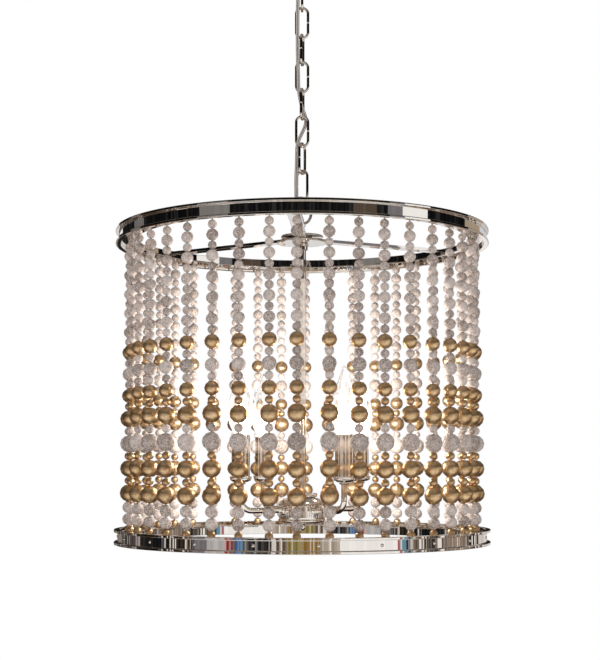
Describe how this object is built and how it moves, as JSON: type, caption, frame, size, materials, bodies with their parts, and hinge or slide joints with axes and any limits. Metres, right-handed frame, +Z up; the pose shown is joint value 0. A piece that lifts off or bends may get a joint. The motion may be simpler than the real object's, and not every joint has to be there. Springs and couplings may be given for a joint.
{
  "type": "beaded drum chandelier",
  "caption": "Drum chandelier on a chain: strings of whitewashed and gold wooden beads between two polished nickel bands, round a column with candle lights.",
  "frame": {"origin": "on the ceiling, at the middle of the crossbar's top face, level with the canopy's rim", "axes": "+Z up, away from the hanging fixture; +X to the right and -Y towards the viewer in the picture"},
  "size_m": [0.5072, 0.5072, 0.8324],
  "materials": {
    "polished_nickel": "polished nickel plate",
    "whitewashed_wood": "matt whitewash over turned wood; the gold beads are satin metallic paint",
    "bulb_glass": "clear glass",
    "silver_cord": "silver-grey translucent jacket",
    "zinc_steel": "zinc-plated steel"
  },
  "bodies": {
    "ceiling_mount": {"ceiling_crossbar": "zinc_steel", "canopy_screw_loop": "polished_nickel", "lamp_cord": "silver_cord"},
    "canopy": {"ceiling_canopy": "polished_nickel"},
    "ring_nut": {"canopy_ring_nut": "polished_nickel"},
    "link_1": {"chain_link_1": "polished_nickel"},
    "link_2": {"chain_link_2": "polished_nickel"},
    "link_3": {"chain_link_3": "polished_nickel"},
    "link_4": {"chain_link_4": "polished_nickel"},
    "link_5": {"chain_link_5": "polished_nickel"},
    "link_6": {"chain_link_6": "polished_nickel"},
    "link_7": {"chain_link_7": "polished_nickel"},
    "link_8": {"chain_link_8": "polished_nickel"},
    "fixture": {"neck_loop": "polished_nickel", "hub_upper_disc": "polished_nickel", "hub_lower_disc": "polished_nickel", "hub_spoke_1": "polished_nickel", "hub_spoke_2": "polished_nickel", "hub_spoke_3": "polished_nickel", "upper_band": "polished_nickel", "lower_band": "polished_nickel", "centre_column": "polished_nickel", "arm_body": "polished_nickel", "arm_body_finial": "polished_nickel", "candle_arm_1": "polished_nickel", "candle_cup_1": "polished_nickel", "candle_sleeve_1": "polished_nickel", "candle_arm_2": "polished_nickel", "candle_cup_2": "polished_nickel", "candle_sleeve_2": "polished_nickel", "candle_arm_3": "polished_nickel", "candle_cup_3": "polished_nickel", "candle_sleeve_3": "polished_nickel", "candle_arm_4": "polished_nickel", "candle_cup_4": "polished_nickel", "candle_sleeve_4": "polished_nickel", "bead_strand_pair_01": "whitewashed_wood", "bead_strand_pair_02": "whitewashed_wood", "bead_strand_pair_03": "whitewashed_wood", "bead_strand_pair_04": "whitewashed_wood", "bead_strand_pair_05": "whitewashed_wood", "bead_strand_pair_06": "whitewashed_wood", "bead_strand_pair_07": "whitewashed_wood", "bead_strand_pair_08": "whitewashed_wood", "bead_strand_pair_09": "whitewashed_wood", "bead_strand_pair_10": "whitewashed_wood", "bead_strand_pair_11": "whitewashed_wood", "bead_strand_pair_12": "whitewashed_wood", "bead_strand_pair_13": "whitewashed_wood", "bead_strand_pair_14": "whitewashed_wood", "bead_strand_pair_15": "whitewashed_wood", "bead_strand_pair_16": "whitewashed_wood", "bead_strand_pair_17": "whitewashed_wood", "bead_strand_pair_18": "whitewashed_wood", "bead_strand_pair_19": "whitewashed_wood", "bead_strand_pair_20": "whitewashed_wood"},
    "bulb_1": {"bulb_1": "bulb_glass"},
    "bulb_2": {"bulb_2": "bulb_glass"},
    "bulb_3": {"bulb_3": "bulb_glass"},
    "bulb_4": {"bulb_4": "bulb_glass"}
  },
  "joints": [
    {"name": "canopy_drop", "type": "slide", "parent": "ceiling_mount", "child": "canopy", "axis": [0, 0, -1], "range_m": [0, 0.04]},
    {"name": "ring_nut_drop", "type": "slide", "parent": "ceiling_mount", "child": "ring_nut", "axis": [0, 0, -1], "range_m": [0, 0.04]},
    {"name": "link_1_swing", "type": "hinge", "parent": "ceiling_mount", "child": "link_1", "pos_m": [0, 0, -0.06], "axis": [1, 0, 0], "range_deg": [-8, 8], "deforming": ["lamp_cord"]},
    {"name": "link_2_swing", "type": "hinge", "parent": "link_1", "child": "link_2", "pos_m": [0, 0, -0.0978], "axis": [0, 1, 0], "range_deg": [-12, 12], "deforming": ["lamp_cord"]},
    {"name": "link_3_swing", "type": "hinge", "parent": "link_2", "child": "link_3", "pos_m": [0, 0, -0.1358], "axis": [1, 0, 0], "range_deg": [-12, 12], "deforming": ["lamp_cord"]},
    {"name": "link_4_swing", "type": "hinge", "parent": "link_3", "child": "link_4", "pos_m": [0, 0, -0.1738], "axis": [0, 1, 0], "range_deg": [-12, 12], "deforming": ["lamp_cord"]},
    {"name": "link_5_swing", "type": "hinge", "parent": "link_4", "child": "link_5", "pos_m": [0, 0, -0.2118], "axis": [1, 0, 0], "range_deg": [-12, 12], "deforming": ["lamp_cord"]},
    {"name": "link_6_swing", "type": "hinge", "parent": "link_5", "child": "link_6", "pos_m": [0, 0, -0.2498], "axis": [0, 1, 0], "range_deg": [-12, 12], "deforming": ["lamp_cord"]},
    {"name": "link_7_swing", "type": "hinge", "parent": "link_6", "child": "link_7", "pos_m": [0, 0, -0.2878], "axis": [1, 0, 0], "range_deg": [-12, 12], "deforming": ["lamp_cord"]},
    {"name": "link_8_swing", "type": "hinge", "parent": "link_7", "child": "link_8", "pos_m": [0, 0, -0.3258], "axis": [0.2588, 0.9659, 0], "range_deg": [-12, 12], "deforming": ["lamp_cord"]},
    {"name": "fixture_swing", "type": "hinge", "parent": "link_8", "child": "fixture", "pos_m": [0, 0, -0.3638], "axis": [-0.866, 0.5, 0], "range_deg": [-12, 12], "deforming": ["lamp_cord"]},
    {"name": "bulb_1_unscrew", "type": "hinge", "parent": "fixture", "child": "bulb_1", "pos_m": [0.08125, 0.0548, -0.6929], "axis": [0, 0, 1], "range_deg": [0, 1080]},
    {"name": "bulb_2_unscrew", "type": "hinge", "parent": "fixture", "child": "bulb_2", "pos_m": [-0.0548, 0.08125, -0.6929], "axis": [0, 0, 1], "range_deg": [0, 1080]},
    {"name": "bulb_3_unscrew", "type": "hinge", "parent": "fixture", "child": "bulb_3", "pos_m": [-0.08125, -0.0548, -0.6929], "axis": [0, 0, 1], "range_deg": [0, 1080]},
    {"name": "bulb_4_unscrew", "type": "hinge", "parent": "fixture", "child": "bulb_4", "pos_m": [0.0548, -0.08125, -0.6929], "axis": [0, 0, 1], "range_deg": [0, 1080]}
  ],
  "couplings": [
    {"joint": "ring_nut_drop", "follows": "canopy_drop", "ratio": 1}
  ]
}
